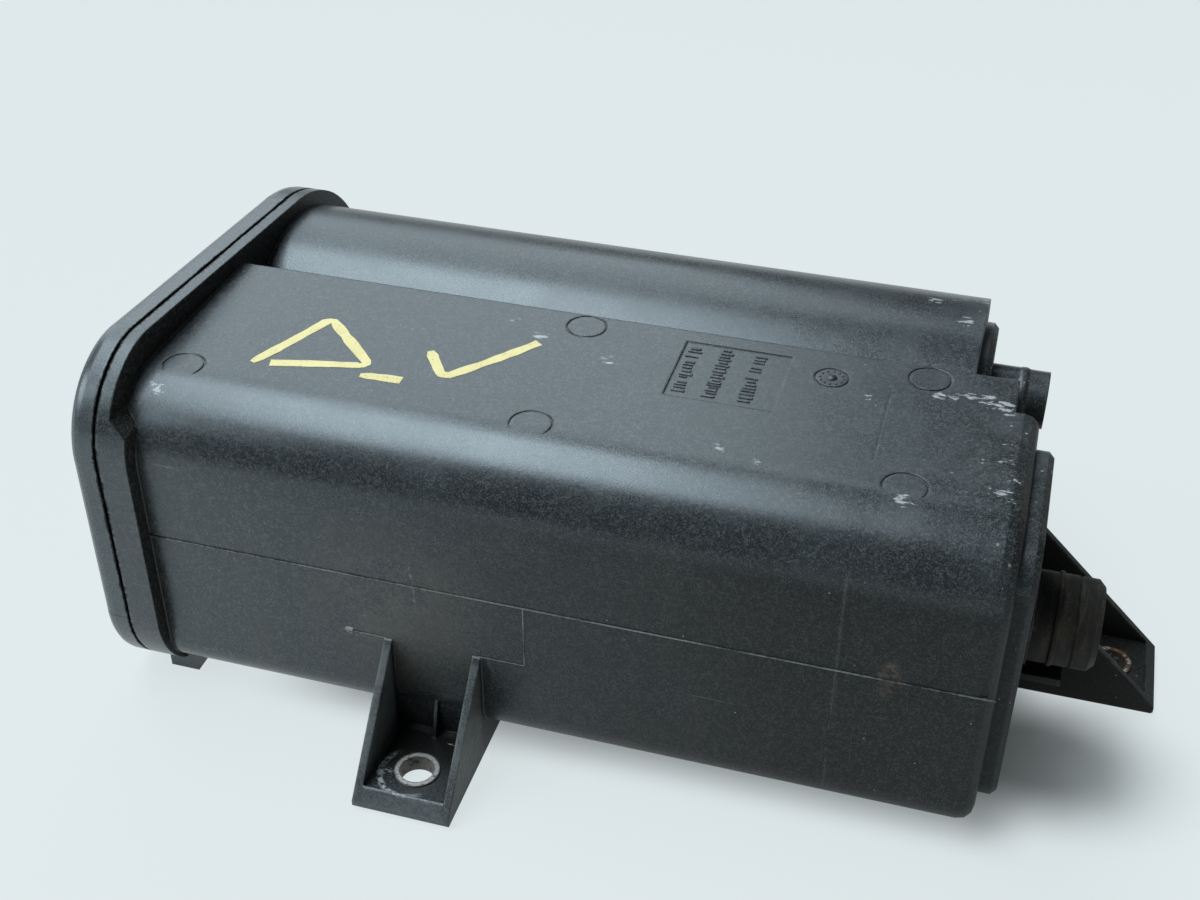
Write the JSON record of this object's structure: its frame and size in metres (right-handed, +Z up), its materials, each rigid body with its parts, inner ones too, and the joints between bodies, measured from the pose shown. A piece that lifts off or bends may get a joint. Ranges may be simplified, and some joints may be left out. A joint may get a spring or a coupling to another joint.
{
  "type": "charcoal canister",
  "caption": "Two-lobed moulded fuel vapour canister with a welded end lid, open bolt-down feet with steel sleeves, a hose tube and a large vent port.",
  "frame": {"origin": "middle of the underside's outline, on the plane of the feet", "axes": "+X from the welded lid to the port end, +Y from the flat front wall to the round rear lobe, +Z up"},
  "size_m": [0.278, 0.1818, 0.1019],
  "materials": {
    "housing_plastic": "satin, scuffed and dusty",
    "lid_plastic": "satin",
    "sleeve_steel": "worn, lightly rusted",
    "boot_rubber": "matt, dirty",
    "carbon": "granular",
    "fleece": "needled felt",
    "plate_plastic": "satin",
    "spring_steel": "bright drawn wire"
  },
  "bodies": {
    "root": {"canister_body": "housing_plastic", "end_lid": "lid_plastic", "front_foot_sleeve": "sleeve_steel", "end_foot_sleeve": "sleeve_steel", "vent_boot": "boot_rubber", "main_carbon": "carbon", "rear_carbon": "carbon", "main_port_fleece": "fleece", "main_lid_fleece": "fleece", "rear_port_fleece": "fleece", "rear_lid_fleece": "fleece", "main_plate": "plate_plastic", "rear_plate": "plate_plastic", "main_spring_low": "spring_steel", "main_spring_high": "spring_steel", "rear_spring": "spring_steel"}
  },
  "joints": []
}
